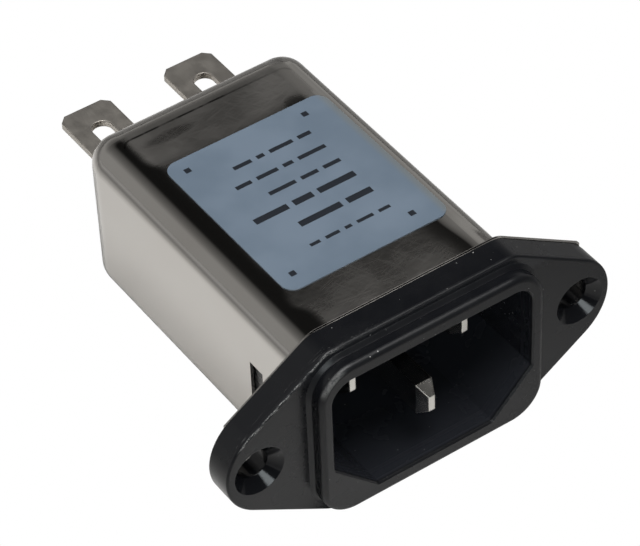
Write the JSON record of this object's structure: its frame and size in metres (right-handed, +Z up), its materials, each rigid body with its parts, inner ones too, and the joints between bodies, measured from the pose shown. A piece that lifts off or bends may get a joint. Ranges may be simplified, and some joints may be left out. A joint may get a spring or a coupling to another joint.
{
  "type": "emi line filter",
  "caption": "Flange-mounted mains inlet with a built-in line filter: moulded socket in front, drawn metal can behind, flat push-on terminals at the rear.",
  "frame": {"origin": "on the socket's axis, midway between the two screw holes, at the rear face of the can's flange, which sits on the panel", "axes": "+Y into the equipment along the can, +Z up towards the label side, +X to the line side"},
  "size_m": [0.0476, 0.0564, 0.0226],
  "materials": {
    "black_moulding": "moulded thermoplastic, satin",
    "plated_steel": "drawn sheet, nickel plated, smooth satin",
    "label_film": "printed film, semi-gloss, left bare",
    "nickel_pin": "bright nickel plate",
    "tinned_tab": "dull tin plate",
    "block_moulding": "moulded thermoplastic, satin",
    "liner_film": "thin insulating film",
    "coated_ferrite": "epoxy coated ferrite ring",
    "enamelled_copper": "enamelled copper wire",
    "film_capacitor": "moulded case, semi-gloss",
    "disc_capacitor": "dipped resin coat, glossy",
    "resistor_coat": "lacquered body",
    "tinned_wire": "tinned copper"
  },
  "bodies": {
    "root": {"inlet_housing": "black_moulding", "metal_can": "plated_steel", "rating_label": "label_film", "line_pin": "nickel_pin", "neutral_pin": "nickel_pin", "earth_pin": "nickel_pin", "line_tab": "tinned_tab", "neutral_tab": "tinned_tab", "earth_tab": "tinned_tab", "terminal_block": "block_moulding", "insulating_liner": "liner_film", "choke_core": "coated_ferrite", "line_winding": "enamelled_copper", "neutral_winding": "enamelled_copper", "winding_divider": "liner_film", "x_capacitor": "film_capacitor", "x_capacitor_leads": "tinned_wire", "line_y_capacitor": "disc_capacitor", "line_y_capacitor_leads": "tinned_wire", "neutral_y_capacitor": "disc_capacitor", "neutral_y_capacitor_leads": "tinned_wire", "bleed_resistor": "resistor_coat", "bleed_resistor_leads": "tinned_wire", "earth_strap": "tinned_tab"}
  },
  "joints": []
}
